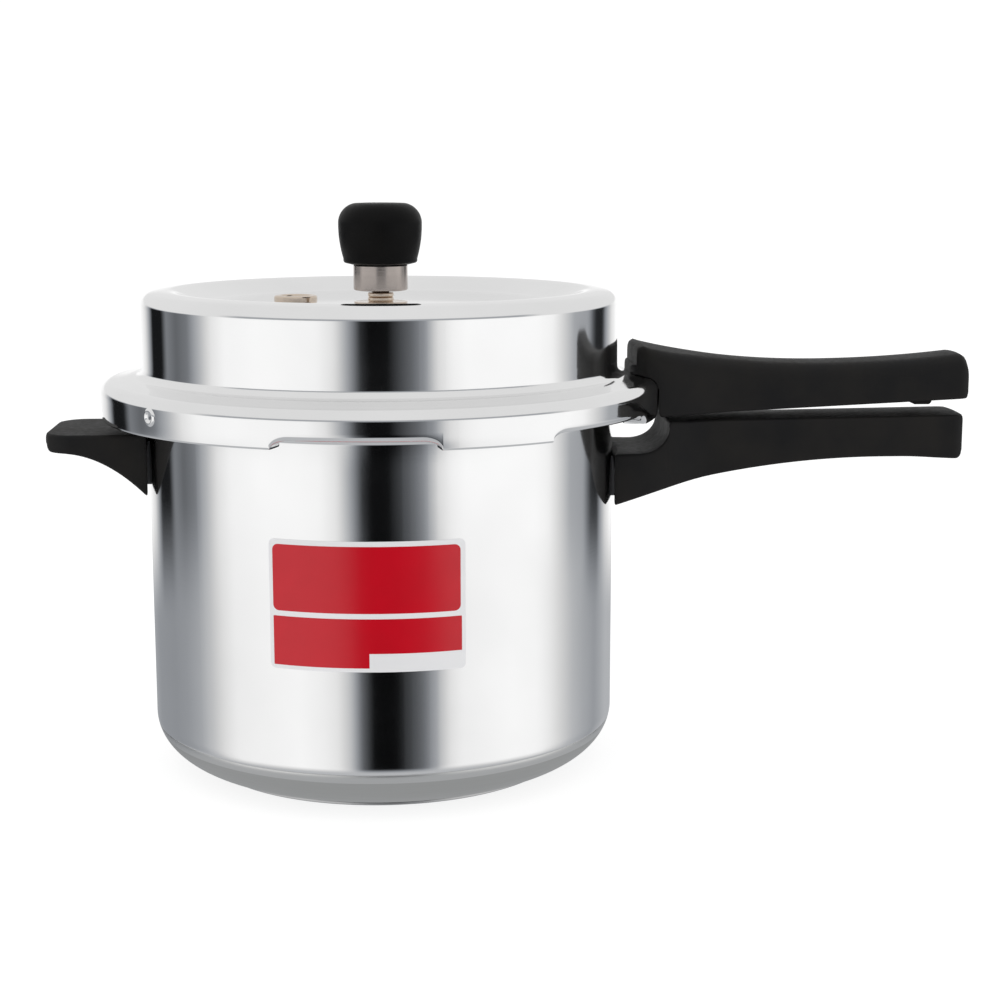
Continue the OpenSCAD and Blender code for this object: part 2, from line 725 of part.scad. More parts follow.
pot_body();
base_plate();
front_label();
pot_bracket();
pot_handle();
pot_handle_screws();
helper_bracket();
helper_handle();
helper_screws();
bracket_rivets();
gasket();
lid_shell();
lid_bracket();
lid_rivets();
lid_handle();
lid_handle_screws();
vent_tube();
vent_seat();
vent_washer();
vent_nut();
safety_plug();
safety_fuse();
safety_washer();
safety_nut();
weight_clip();
weight_body();
weight_needle();
weight_knob();
weight_stud();
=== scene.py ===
"""A stovetop pressure cooker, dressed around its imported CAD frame.

Lengths are in millimetres until a mesh is made, which turns them into metres. Angles run
round the axis of the pot in degrees, from +X towards +Y. Outlines are lists of (radius, height).
"""
import json
import math

import bpy
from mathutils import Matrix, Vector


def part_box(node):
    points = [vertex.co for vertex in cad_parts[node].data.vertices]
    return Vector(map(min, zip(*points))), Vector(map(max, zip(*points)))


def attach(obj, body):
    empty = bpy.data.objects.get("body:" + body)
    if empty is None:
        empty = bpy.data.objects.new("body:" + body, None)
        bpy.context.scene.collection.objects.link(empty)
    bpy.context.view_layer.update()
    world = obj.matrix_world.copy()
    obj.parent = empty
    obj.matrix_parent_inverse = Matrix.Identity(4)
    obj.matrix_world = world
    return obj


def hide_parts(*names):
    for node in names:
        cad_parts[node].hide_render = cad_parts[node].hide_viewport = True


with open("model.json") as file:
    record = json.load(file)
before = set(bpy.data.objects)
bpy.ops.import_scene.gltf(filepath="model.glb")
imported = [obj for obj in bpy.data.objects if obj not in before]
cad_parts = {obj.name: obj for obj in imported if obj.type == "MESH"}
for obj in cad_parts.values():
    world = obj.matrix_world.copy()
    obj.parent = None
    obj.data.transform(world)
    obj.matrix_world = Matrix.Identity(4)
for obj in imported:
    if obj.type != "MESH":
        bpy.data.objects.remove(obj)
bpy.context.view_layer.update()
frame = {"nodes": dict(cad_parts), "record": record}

MM = 0.001


def edge(node, axis, side):
    """The highest (side 1) or lowest (side 0) coordinate of a CAD node along an axis, in mm."""
    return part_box(node)[side][axis] / MM


# ---- Sizes taken from the frame ----
RIM_Z = edge("pot_body", 2, 1)
PLATE_R = edge("base_plate", 0, 1)
PLATE_T = edge("base_plate", 2, 1)
COLLAR_R = edge("lid_shell", 0, 1)
LID_LOW = edge("lid_shell", 2, 0)
LID_TOP = edge("lid_shell", 2, 1)
KNOB_R = edge("weight_knob", 0, 1)
KNOB_TOP = edge("weight_knob", 2, 1)
KNOB_LOW = edge("weight_knob", 2, 0)
WEIGHT_R = edge("weight_body", 0, 1)
WEIGHT_LOW = edge("weight_body", 2, 0)
POT_TIP = edge("pot_handle", 0, 1)
LID_TIP = edge("lid_handle", 0, 1)
HELPER_TIP = -edge("helper_handle", 0, 0)
HELPER_HALF = edge("helper_handle", 1, 1)
LABEL_LOW = edge("front_label", 2, 0)
LABEL_TOP = edge("front_label", 2, 1)
GASKET_LOW = edge("gasket", 2, 0)
GASKET_TOP = edge("gasket", 2, 1)
GASKET_R = edge("gasket", 0, 1)

# ---- Sizes that the frame's boxes don't give ----
POT_R = 108.0                    # outside of the wall
WALL = 3.0
FLOOR_T = 3.6
CORNER_W, CORNER_H = 30.0, 24.0  # the oval bottom corner
FOOT_Z = PLATE_T + 20.0          # the polished wall starts here, over a satin foot
FLANGE_T = 2.5                   # the rim, which reaches to NOTCH_R, and to LUG_R at its lugs
NOTCH_R = POT_R + 8.5
LUG_R = NOTCH_R + 7.0
LID_T = 2.5
GAP_RAISE = 3.5                  # how far the skirt's gaps are cut up from its lower edge
LUG_PITCH = 54.5
FIRST_GAP = -95.0
UNLOCK = 27.5
LUG_HALF, GAP_HALF = 14.0, 15.0
RIM_LUGS = [FIRST_GAP + UNLOCK + i * LUG_PITCH for i in range(6)]
LID_GAPS = [FIRST_GAP + i * LUG_PITCH for i in range(6)]
GASKET_PLAY = 0.4
DRUM_R = POT_R + 2.0             # the lid's upright drum
SHOULDER_Z = RIM_Z + GASKET_PLAY + (GASKET_TOP - GASKET_LOW) + LID_T
SHOULDER_EDGE_R = 5.5            # the round edge between the shoulder and the skirt
DISH_Z = LID_TOP - 6.5           # the sunken floor on top of the lid
ROOT_R = POT_R + 2.3             # where the roots of the pot's handles start
LABEL_W = 85.2                   # along the wall


# ---- Mesh making ----
def finish_mesh(name, verts, faces, sharp=38.0):
    """Makes a smooth shaded object, with a crease where faces meet at more than the sharp angle."""
    mesh = bpy.data.meshes.new(name)
    mesh.from_pydata([(x * MM, y * MM, z * MM) for x, y, z in verts], [], faces)
    mesh.validate()
    mesh.polygons.foreach_set("use_smooth", [True] * len(mesh.polygons))
    mesh.set_sharp_from_angle(angle=math.radians(sharp))
    obj = bpy.data.objects.new(name, mesh)
    bpy.context.scene.collection.objects.link(obj)
    return obj


def arc(cx, cz, r, a0, a1, n=12):
    """Points on an arc, from one angle in degrees to the other."""
    steps = [math.radians(a0 + (a1 - a0) * i / n) for i in range(n + 1)]
    return [(cx + r * math.cos(a), cz + r * math.sin(a)) for a in steps]


def split(a, b, n):
    """Points from a towards b, without b."""
    return [(a[0] + (b[0] - a[0]) * i / n, a[1] + (b[1] - a[1]) * i / n) for i in range(n)]


def even_turn(step=1.5):
    """Angles all round, in degrees."""
    n = round(360 / step)
    return [i * 360 / n for i in range(n)]


def lathe(name, section, angles=None, centre=(0, 0), sharp=38.0, closed=True):
    """Turns a section round an upright axis.

    The section is an outline, or a function that gives the outline at an angle. Points on the axis
    are shared by all angles, and the faces next to them are triangles.
    """
    angles = angles or even_turn()
    rows = [section(a) if callable(section) else section for a in angles]
    count = len(rows[0])
    verts, index = [], []
    poles = {}
    for a, row in zip(angles, rows):
        c, s = math.cos(math.radians(a)), math.sin(math.radians(a))
        line = []
        for r, z in row:
            if r < 1e-6:
                key = round(z, 4)
                if key not in poles:
                    poles[key] = len(verts)
                    verts.append((centre[0], centre[1], z))
                line.append(poles[key])
            else:
                line.append(len(verts))
                verts.append((centre[0] + r * c, centre[1] + r * s, z))
        index.append(line)
    faces = []
    for i in range(len(angles)):
        one, two = index[i], index[(i + 1) % len(angles)]
        for j in range(count if closed else count - 1):
            k = (j + 1) % count
            corners = []
            for v in (one[j], two[j], two[k], one[k]):
                if v not in corners:
                    corners.append(v)
            if len(corners) > 2:
                faces.append(corners)
    return finish_mesh(name, verts, faces, sharp)


def rounded_section(half, low, top, r_top, r_low, crown=0.0, n=6):
    """A closed outline in (y, z): a box with round corners and a slightly domed top.

    The crown is how much higher the middle of the top is than its edges.
    """
    r_top = min(r_top, half * 0.95, (top - low) * 0.48)
    r_low = min(r_low, half * 0.95, (top - low) * 0.48)
    pts = arc(half - r_low, low + r_low, r_low, -90, 0, n)
    pts += arc(half - r_top, top - r_top, r_top, 0, 90, n)
    pts += split((half - r_top, top), (r_top - half, top), 8)[1:]
    pts += arc(r_top - half, top - r_top, r_top, 90, 180, n)
    pts += arc(r_low - half, low + r_low, r_low, 180, 270, n)
    pts += split((r_low - half, low), (half - r_low, low), 8)[1:]
    flat = max(half - r_top, 0.1)
    out = []
    for y, z in pts:
        lift = crown * (1 - min(abs(y) / flat, 1.0) ** 2) if z > top - r_top else 0.0
        out.append((y, z - crown + lift if z > top - r_top * 0.5 else z))
    return out


def loft(name, stations, sharp=50.0, mirror=False):
    """Skins a row of closed rings of points, and caps both ends."""
    count = len(stations[0])
    verts = [p for ring in stations for p in ring]
    faces = []
    for i in range(len(stations) - 1):
        for j in range(count):
            k = (j + 1) % count
            faces.append((i * count + j, (i + 1) * count + j, (i + 1) * count + k, i * count + k))
    for ring, turned in ((0, False), (len(stations) - 1, True)):
        cap = [ring * count + j for j in range(count)]
        faces.append(tuple(reversed(cap)) if turned else tuple(cap))
    if mirror:
        verts = [(-x, y, z) for x, y, z in verts]
        faces = [tuple(reversed(f)) for f in faces]
    return finish_mesh(name, verts, faces, sharp)


def smooth_step(t):
    """Eases from 0 to 1, and stays there outside that span."""
    t = min(max(t, 0.0), 1.0)
    return t * t * (3 - 2 * t)


# ---- Materials ----
class Nodes:
    """A node material being built, with short calls for the nodes that repeat."""

    def __init__(self, name):
        self.mat = bpy.data.materials.new(name)
        self.mat.use_nodes = True
        self.tree = self.mat.node_tree
        self.shader = self.tree.nodes["Principled BSDF"]
        self.coords = self.tree.nodes.new("ShaderNodeTexCoord").outputs["Object"]

    def node(self, kind, **sockets):
        """A node with its sockets set to values or linked to other nodes."""
        made = self.tree.nodes.new(kind)
        for key, value in sockets.items():
            socket = made.inputs[key.replace("_", " ")]
            if isinstance(value, bpy.types.NodeSocket):
                self.tree.links.new(value, socket)
            else:
                socket.default_value = value
        return made

    def link(self, out, name):
        """Feeds the surface shader."""
        self.tree.links.new(out, self.shader.inputs[name])

    def set(self, **sockets):
        for key, value in sockets.items():
            self.shader.inputs[key.replace("_", " ")].default_value = value

    def stretched(self, scale):
        """Coordinates scaled by axis, for lines and grain that run one way."""
        return self.node("ShaderNodeMapping", Vector=self.coords, Scale=scale).outputs[0]

    def noise(self, scale, detail=4.0, vector=None):
        made = self.node("ShaderNodeTexNoise", Vector=vector or self.coords, Scale=scale,
                         Detail=detail, Roughness=0.5)
        return made.outputs["Fac"]

    def span(self, value, low, high, to_low, to_high):
        """Maps one range of values to another, and holds the ends."""
        made = self.node("ShaderNodeMapRange", Value=value, From_Min=low, From_Max=high,
                         To_Min=to_low, To_Max=to_high)
        return made.outputs[0]

    def math(self, kind, a, b=0.0):
        made = self.tree.nodes.new("ShaderNodeMath")
        made.operation = kind
        for i, value in enumerate((a, b)):
            if isinstance(value, bpy.types.NodeSocket):
                self.tree.links.new(value, made.inputs[i])
            else:
                made.inputs[i].default_value = value
        return made.outputs[0]

    def mix(self, fac, a, b):
        made = self.tree.nodes.new("ShaderNodeMix")
        made.data_type = "RGBA"
        for socket, value in ((made.inputs[0], fac), (made.inputs[6], a), (made.inputs[7], b)):
            if isinstance(value, bpy.types.NodeSocket):
                self.tree.links.new(value, socket)
            else:
                socket.default_value = value
        return made.outputs[2]

    def bump(self, height, strength, distance):
        made = self.node("ShaderNodeBump", Height=height, Strength=strength, Distance=distance * MM)
        self.link(made.outputs[0], "Normal")

    def height_mm(self):
        """Height above the ground, in mm."""
        parts = self.node("ShaderNodeSeparateXYZ", Vector=self.coords)
        return self.math("MULTIPLY", parts.outputs[2], 1 / MM)


def rgb(r, g, b):
    """A colour as shader sockets take it."""
    return (r, g, b, 1.0)


def polished_metal(name, color, dark, rough_low, rough_high, satin_below=None):
    """Bright polished sheet with faint hazy patches and fine polishing lines round the axis.

    Below a height it is turned to a satin grey, with painted shade that darkens the part that curves under.
    """
    m = Nodes(name)
    m.set(Metallic=1.0)
    haze = m.noise(22.0, 5.0)
    lines = m.noise(1.0, 3.0, m.stretched((60.0, 60.0, 1400.0)))
    rough = m.span(haze, 0.35, 0.7, rough_low, rough_high)
    tint = m.mix(m.span(haze, 0.3, 0.75, 0.0, 1.0), rgb(*color), rgb(*dark))
    if satin_below is not None:
        z, curve_z = m.height_mm(), satin_below - 4.2
        turned = m.noise(1.0, 2.0, m.stretched((30.0, 30.0, 2600.0)))
        band = m.span(z, satin_below, satin_below + 0.25, 1.0, 0.0)
        # Painted shade: a mask for the part that curves under, which is also made a little rougher
        shaded_curve_band = m.span(z, curve_z, curve_z + 0.3, 1.0, 0.0)
        satin = m.math("ADD", m.span(turned, 0.3, 0.7, 0.3, 0.42), m.math("MULTIPLY", shaded_curve_band, 0.05))
        rough = m.math("ADD", m.math("MULTIPLY", rough, m.math("SUBTRACT", 1.0, band)),
                       m.math("MULTIPLY", satin, band))
        # Painted shade: the satin grey darkens to 0.56 where the wall curves under
        grey = m.mix(shaded_curve_band, rgb(0.7, 0.7, 0.69), rgb(0.56, 0.56, 0.545))
        tint = m.mix(band, tint, grey)
    m.link(tint, "Base Color")
    m.link(rough, "Roughness")
    m.bump(lines, 0.12, 0.02)
    return m.mat


def turned_metal(name, color, dark, rough, line_scale, strength=0.25, spread=0.0):
    """Metal cut on a lathe: fine lines round the axis and a little tone between them."""
    m = Nodes(name)
    m.set(Metallic=1.0, Anisotropic=spread, Anisotropic_Rotation=0.25)
    lines = m.noise(1.0, 3.0, m.stretched((20.0, 20.0, line_scale)))
    patches = m.noise(160.0, 3.0)
    m.link(m.mix(patches, rgb(*color), rgb(*dark)), "Base Color")
    m.link(m.span(lines, 0.3, 0.7, rough * 0.8, rough * 1.3), "Roughness")
    m.bump(lines, strength, 0.03)
    return m.mat


PHENOLIC = (0.0125, 0.0125, 0.013)
PHENOLIC_WORN = (0.0175, 0.0165, 0.0155)


def phenolic(name, tone=1.0, gloss=0.0):
    """Black moulded phenolic: satin, with a fine grain and faintly worn, browner patches."""
    m = Nodes(name)
    grain = m.noise(1500.0, 3.0)
    cloud = m.noise(45.0, 4.0)
    flecks = m.noise(420.0, 2.0)
    m.link(m.mix(m.span(cloud, 0.35, 0.7, 0.0, 1.0), rgb(*(tone * v for v in PHENOLIC)),
                 rgb(*(tone * v for v in PHENOLIC_WORN))), "Base Color")
    m.link(m.span(m.math("ADD", m.math("MULTIPLY", cloud, 0.5), m.math("MULTIPLY", flecks, 0.5)),
                  0.35, 0.65, 0.46 - gloss, 0.6 - gloss), "Roughness")
    m.set(Specular_IOR_Level=0.07)
    m.bump(m.math("ADD", grain, m.math("MULTIPLY", flecks, 0.6)), 0.35, 0.05)
    return m.mat


def film(name, color, dark):
    """Glossy printed film on the pot's wall."""
    m = Nodes(name)
    wave = m.noise(60.0, 2.0)
    m.link(m.mix(wave, rgb(*color), rgb(*dark)), "Base Color")
    m.link(m.span(wave, 0.3, 0.7, 0.06, 0.1), "Roughness")
    m.set(Specular_IOR_Level=0.45)
    m.bump(wave, 0.1, 0.05)
    return m.mat


def dull(name, color, dark, rough, scale=120.0, metallic=0.0):
    """Plain rubber, cast alloy or rolled steel, with a mottled tone."""
    m = Nodes(name)
    m.set(Metallic=metallic)
    spots = m.noise(scale, 5.0)
    m.link(m.mix(m.span(spots, 0.3, 0.7, 0.0, 1.0), rgb(*color), rgb(*dark)), "Base Color")
    m.link(m.span(spots, 0.3, 0.7, rough, rough + 0.12), "Roughness")
    m.bump(spots, 0.2, 0.06)
    return m.mat


BRIGHT, BRIGHT_HAZE = (0.9, 0.9, 0.9), (0.86, 0.86, 0.86)
# Each row is the function that makes the material, its name, and what that function takes
FINISHES = (
    (polished_metal, "pot_aluminium", BRIGHT, BRIGHT_HAZE, 0.065, 0.115, FOOT_Z),
    (polished_metal, "lid_aluminium", BRIGHT, BRIGHT_HAZE, 0.055, 0.1),
    (turned_metal, "base_steel", (0.6, 0.6, 0.6), (0.5, 0.5, 0.5), 0.34, 60.0),
    (dull, "bracket_steel", (0.5, 0.5, 0.51), (0.42, 0.42, 0.43), 0.32, 200.0, 1.0),
    (turned_metal, "screw_steel", (0.66, 0.66, 0.67), (0.56, 0.56, 0.57), 0.28, 900.0),
    (turned_metal, "rivet_aluminium", (0.8, 0.8, 0.81), (0.72, 0.72, 0.73), 0.3, 500.0),
    (dull, "gasket_rubber", (0.018, 0.018, 0.018), (0.03, 0.03, 0.029), 0.55),
    (turned_metal, "nickel_brass", (0.74, 0.64, 0.54), (0.62, 0.52, 0.43), 0.15, 1500.0, 0.12),
    (dull, "fuse_alloy", (0.38, 0.39, 0.4), (0.28, 0.28, 0.3), 0.4, 300.0, 0.8),
    (dull, "red_silicone", (0.42, 0.06, 0.04), (0.34, 0.05, 0.03), 0.5),
    (turned_metal, "weight_steel", (0.5, 0.447, 0.415), (0.42, 0.375, 0.348), 0.17, 1800.0, 0.12, 0.9),
    (phenolic, "black_phenolic"),
    (phenolic, "knob_phenolic", 0.42, 0.1),
    (film, "label_red", (0.6, 0.006, 0.018), (0.5, 0.004, 0.013)),
    (film, "label_white", (0.86, 0.86, 0.87), (0.8, 0.8, 0.81)),
)
MATERIALS = {name: make(name, *looks) for make, name, *looks in FINISHES}


def dress(obj, material, body, slot, *nodes):
    """Gives a new piece its material, the body it rides on and the CAD nodes it stands for. The slot is not
    used.
    """
    obj.data.materials.clear()
    obj.data.materials.append(MATERIALS[material])
    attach(obj, body)
    if nodes:
        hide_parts(*nodes)
    return obj


# ---- Pot ----
# Distances from the end of a lug or gap, in mm, at which its rounded corner gets a column of points
END_STEPS = (0.0, 0.04, 0.12, 0.3, 0.6, 1.0, 1.6, 2.4, 3.4, 4.8, 6.5, 8.5)


def turn_with_edges(centres, half, radius):
    """Angles all round, with more of them next to each lug's or gap's ends."""
    angles = set(round(a, 3) for a in even_turn(2.0))
    for centre in centres:
        for side in (-1, 1):
            start = centre + side * half
            for d in END_STEPS:
                for way in (-1, 1):
                    angles.add(round((start + way * math.degrees(d / radius)) % 360, 3))
    ordered = sorted(angles)
    return [a for i, a in enumerate(ordered) if i == 0 or a - ordered[i - 1] > 0.01]


def into(angle, centres, half, radius):
    """How far an angle lies inside the nearest lug or gap, in mm along the circle: negative outside."""
    offs = [abs((angle - c + 180) % 360 - 180) for c in centres]
    return math.radians(half - min(offs)) * radius


def corner_share(depth, length):
    """0 outside a gap, 1 well inside it, following a round corner of that length."""
    left = 1.0 - min(max(depth / length, 0.0), 1.0)
    return math.sqrt(1.0 - left * left)


def oval(cx, cz, wide, high, a0, a1, n=20):
    """Points on an oval arc, from one angle in degrees to the other."""
    steps = [math.radians(a0 + (a1 - a0) * i / n) for i in range(n + 1)]
    return [(cx + wide * math.cos(a), cz + high * math.sin(a)) for a in steps]


def pot_outside(z):
    """Outer radius of the pot at a height, down to its oval corner."""
    below = max(PLATE_T + CORNER_H - z, 0.0) / CORNER_H
    return POT_R - CORNER_W * (1 - math.sqrt(max(1 - below * below, 0.0)))


def make_pot():
    """The pot's floor, oval corner, wall and flanged rim with lugs. A fine groove ends the satin foot."""
    foot, bend_z = POT_R - CORNER_W, PLATE_T + CORNER_H
    crease = math.degrees(math.asin((FOOT_Z - 0.5 - bend_z) / CORNER_H))
    inner, floor = POT_R - WALL, PLATE_T + FLOOR_T
    low, top = RIM_Z - FLANGE_T, RIM_Z
    lip_r, neck_r, mouth_r = 0.6, 3.5, 6.0
    lug_corner = 4.0

    def by_foot(above, inset=0.0):
        """A point of the outside, by its height above the satin foot."""
        return (pot_outside(FOOT_Z + above) - inset, FOOT_Z + above)

    def section(angle):
        lug = corner_share(into(angle, RIM_LUGS, LUG_HALF, LUG_R), lug_corner)
        outer = NOTCH_R + (LUG_R - NOTCH_R) * lug
        pts = [(0, PLATE_T)] + split((foot * 0.5, PLATE_T), (foot, PLATE_T), 4)
        pts += oval(foot, bend_z, CORNER_W, CORNER_H, -90, crease, 26)
        pts += [by_foot(-0.35, 0.06), by_foot(-0.1, 0.18), by_foot(0.1, 0.02)]
        pts += [by_foot(0.5 + i * 0.5) for i in range(9)]
        pts += split((POT_R, bend_z + 1), (POT_R, low - neck_r), 12)
        pts += arc(POT_R + neck_r, low - neck_r, neck_r, 180, 90, 10)
        pts += arc(outer - lip_r, low + lip_r, lip_r, -90, 0, 5)
        pts += arc(outer - lip_r, top - lip_r, lip_r, 0, 90, 5)
        pts += arc(inner + mouth_r, top - mouth_r, mouth_r, 90, 180, 12)
        pts += split((inner, top - mouth_r - 2), (inner, bend_z), 8)
        pts += oval(foot, bend_z, CORNER_W - WALL, bend_z - floor, 0, -90, 20)
        pts += [(foot - 2, floor), (foot * 0.5, floor), (0, floor)]
        return pts

    pot = lathe("pot", section, turn_with_edges(RIM_LUGS, LUG_HALF, LUG_R), closed=False)
    dress(pot, "pot_aluminium", "pot", "polished_aluminium", "pot_body")


def make_base_plate():
    """Plain steel disc with a rounded lower edge."""
    edge_r = 0.45
    pts = [(0, PLATE_T), (0, 0.0)] + split((20, 0), (PLATE_R - edge_r - 0.05, 0), 6)
    pts += arc(PLATE_R - edge_r, edge_r, edge_r, -90, 0, 5)
    pts += [(PLATE_R, PLATE_T)]
    plate = lathe("base_disc", pts, even_turn(2.0))
    dress(plate, "base_steel", "pot", "base_steel", "base_plate")


def wall_patch(name, radius, a0, a1, z0, z1, corner, thick, material):
    """A film on the pot's wall between two angles.

    Its corner radii go round from the upper one on the +X side, against the clock seen from outside.
    """
    half_w = math.radians(a1 - a0) / 2 * radius
    half_h = (z1 - z0) / 2
    mid_a, mid_z = math.radians((a0 + a1) / 2), (z0 + z1) / 2
    signs = ((1, 1, 0), (-1, 1, 90), (-1, -1, 180), (1, -1, 270))
    outline = []
    for (sx, sz, start), asked in zip(signs, corner):
        rad = min(asked, half_w, half_h)
        cx, cz = sx * (half_w - rad), sz * (half_h - rad)
        outline += arc(cx, cz, max(rad, 0.01), start, start + 90, 8)
    # Columns follow the wall, so each slice of the outline is cut at the same angles
    columns = 60
    verts, faces = [], []
    for i in range(columns + 1):
        s = -half_w * math.cos(math.pi * i / columns)
        s = min(max(s, -half_w + 0.001), half_w - 0.001)
        highs = []
        for k in range(len(outline)):
            p, q = outline[k], outline[(k + 1) % len(outline)]
            if (p[0] - s) * (q[0] - s) <= 0 and abs(p[0] - q[0]) > 1e-9:
                highs.append(p[1] + (q[1] - p[1]) * (s - p[0]) / (q[0] - p[0]))
        top, low = max(highs), min(highs)
        a = mid_a + s / radius
        for rr in (radius, radius + thick):
            for z in (low, top):
                verts.append((rr * math.cos(a), rr * math.sin(a), mid_z + z))
    for i in range(columns):
        a, b = 4 * i, 4 * i + 4
        faces += [(a + 2, b + 2, b + 3, a + 3), (a + 1, b + 1, b, a),
                  (a, b, b + 2, a + 2), (a + 3, b + 3, b + 1, a + 1)]
    faces += [(0, 2, 3, 1), (4 * columns + 1, 4 * columns + 3, 4 * columns + 2, 4 * columns)]
    patch = finish_mesh(name, verts, faces, 60)
    dress(patch, material, "pot", "label_print", "front_label")


def make_label():
    """White film with two red panels and a plain white box; no lettering."""
    r = POT_R + 0.02
    low, high = LABEL_LOW, LABEL_TOP
    degree = math.radians(1) * r
    middle, half = -94.0, LABEL_W / 2 / degree
    a0, a1 = middle - half, middle + half
    film_t, print_t = 0.1, 0.04
    round_r, panel_r, nick, square = 2.4, 2.6, 0.3, 0.01
    wall_patch("label_base", r, a0, a1, low, high, (round_r,) * 4, film_t, "label_white")
    # White shows round the panels, between them, and in the box right of the lower panel's foot
    border, wide_border = 1.7, 2.2
    side, split_low, split_high = border / degree, low + 23.0, low + 25.3
    foot, box_low, box_a = low + border, low + 8.0, middle + 0.6
    red = r + film_t

    def panel(name, start, end, z0, z1, corners):
        wall_patch(name, red, start, end, z0, z1, corners, print_t, "label_red")

    panel("label_upper_panel", a0 + side, a1 - wide_border / degree, split_high, high - wide_border,
          (panel_r,) * 4)
    panel("label_lower_panel", a0 + side, a1 - side, box_low, split_low, (nick, nick, square, square))
    panel("label_lower_foot", a0 + side, box_a, foot, box_low, (square, square, nick, square))


# ---- Lid ----
def make_lid():
    """The pressed lid: sunken floor, rounded rim, drum, shoulder, and a skirt cut into lugs."""
    # The floor bends up into the slope, and the slope bends over into the rim's slightly crowned top
    drum_round = 6.7
    crest = DRUM_R - drum_round
    dish_r = crest - 24
    floor_end = dish_r - 3
    top = [(0, DISH_Z)] + split((8, DISH_Z), (floor_end, DISH_Z), 8)
    top += [(floor_end, DISH_Z), (floor_end + 2, DISH_Z + 0.03), (floor_end + 3.8, DISH_Z + 0.16)]
    slope_start = (floor_end + 5.6, DISH_Z + 0.5)
    peak_z = LID_TOP - 0.02
    edge_round, crown_r, crown_lean = 6.2, 46.0, 9.0
    lean_s, lean_c = math.sin(math.radians(crown_lean)), math.cos(math.radians(crown_lean))
    edge_cz = peak_z - crown_r * (1 - lean_c) - edge_round * lean_c
    edge_cr = DRUM_R - edge_round
    peak = edge_cr + edge_round * lean_s - crown_r * lean_s
    inner_r, inner_a = 12.0, 114.0
    slope_end = (peak + inner_r * math.cos(math.radians(inner_a)),
                 peak_z - inner_r * (1 - math.sin(math.radians(inner_a))))
    top += split(slope_start, slope_end, 5)
    top += arc(peak, peak_z - inner_r, inner_r, inner_a, 92, 10)
    top += arc(peak, peak_z - crown_r, crown_r, 90, 90 - crown_lean, 6)[:-1]
    top += arc(edge_cr, edge_cz, edge_round, 90 - crown_lean, 0, 16)

    # Drum, hollow at its foot, then the shoulder and the round edge of the skirt
    foot_r = 4.0
    foot_c, foot_z = DRUM_R + foot_r, SHOULDER_Z + 1.4 + foot_r
    edge_c, edge_z = COLLAR_R - SHOULDER_EDGE_R, SHOULDER_Z - SHOULDER_EDGE_R
    bead_z = LID_LOW + GAP_RAISE
    wall = split((DRUM_R, edge_cz - 1), (DRUM_R, foot_z + 0.5), 8)
    shoulder = arc(foot_c, foot_z, foot_r, 180, 262, 12)
    shoulder += split((foot_c + 1.2, foot_z - foot_r - 0.05), (edge_c - 0.2, SHOULDER_Z), 4)
    shoulder += arc(edge_c, edge_z, SHOULDER_EDGE_R, 88, 0, 14)
    skirt = split((COLLAR_R, edge_z - 1), (COLLAR_R, bead_z + 2.6), 3)

    slope_foot = (dish_r + 0.4, DISH_Z - LID_T)
    slope_head = (dish_r + 14.6, LID_TOP - 1.5 - LID_T)
    under = arc(edge_c, edge_z, SHOULDER_EDGE_R - LID_T, 0, 90, 10)
    under += arc(foot_c, foot_z, foot_r + LID_T, 270, 180, 10)
    under += arc(crest, LID_TOP - drum_round, drum_round - LID_T, 0, 108, 10)
    under += [slope_head, slope_foot, (20, DISH_Z - LID_T), (0, DISH_Z - LID_T)]

    # The skirt's lower edge: a small bead in the gaps, and a lip turned inwards on the lugs
    skirt_in = COLLAR_R - LID_T
    roll, lug_roll = 2.9, 1.2
    gap_end = arc(COLLAR_R - roll, bead_z + roll, roll, 0, -90, 8)
    gap_end += [(skirt_in - depth, bead_z + up) for depth, up in (
        (1.1, 0.0), (1.8, 0.1), (2.0, 0.4), (2.0, 1.2), (1.7, 1.5), (0.4, 1.7), (0.0, 2.0))]
    lip_top, lip_in, lip_edge = LID_LOW + 2.4, NOTCH_R + 1.5, 0.4
    lug_end = arc(COLLAR_R - lug_roll, LID_LOW + lug_roll, lug_roll, 0, -90, 8)
    lug_end += [(skirt_in - 0.5, LID_LOW), (lip_in + lip_edge, LID_LOW), (lip_in, LID_LOW + lip_edge),
                (lip_in, lip_top - lip_edge), (lip_in + lip_edge, lip_top),
                (skirt_in - 0.7, lip_top), (skirt_in, lip_top + 0.7)]
    gap_margin, gap_corner = 2.2, 8.5

    def section(angle):
        share = corner_share(into(angle, LID_GAPS, GAP_HALF, COLLAR_R) + gap_margin, gap_corner)
        ends = [(g[0] * share + l[0] * (1 - share), g[1] * share + l[1] * (1 - share))
                for g, l in zip(gap_end, lug_end)]
        return top + wall + shoulder + skirt + ends + under

    start = GAP_HALF + math.degrees(gap_margin / COLLAR_R)
    lid = lathe("lid", section, turn_with_edges(LID_GAPS, start, COLLAR_R), closed=False)
    dress(lid, "lid_aluminium", "lid", "polished_aluminium", "lid_shell")


def make_dimple():
    """Round boss pressed out of the skirt: a raised ring with a flatter middle."""
    angle, z = math.radians(-139.5), LID_LOW + 9.0
    # Distance from the middle, and how far it stands out of the skirt
    ring = [(0, 0.12), (1.2, 0.14), (1.8, 0.36), (2.3, 0.7), (2.7, 0.85),
            (3.1, 0.75), (3.6, 0.4), (4.0, 0.08), (4.2, -0.25)]
    sunk = 0.05
    verts, faces = [], []
    turns = 40
    for i in range(turns):
        a = 2 * math.pi * i / turns
        for r, out in ring:
            side, up = r * math.cos(a), r * math.sin(a)
            turn = angle + side / COLLAR_R
            reach = COLLAR_R + out - sunk
            verts.append((reach * math.cos(turn), reach * math.sin(turn), z + up))
    n = len(ring)
    for i in range(turns):
        k = (i + 1) % turns
        faces += [(i * n + j, k * n + j, k * n + j + 1, i * n + j + 1) for j in range(1, n - 1)]
        faces.append((i * n, k * n + 1, i * n + 1))
    boss = finish_mesh("lid_dimple", verts, faces, 120)
    dress(boss, "lid_aluminium", "lid", "polished_aluminium")


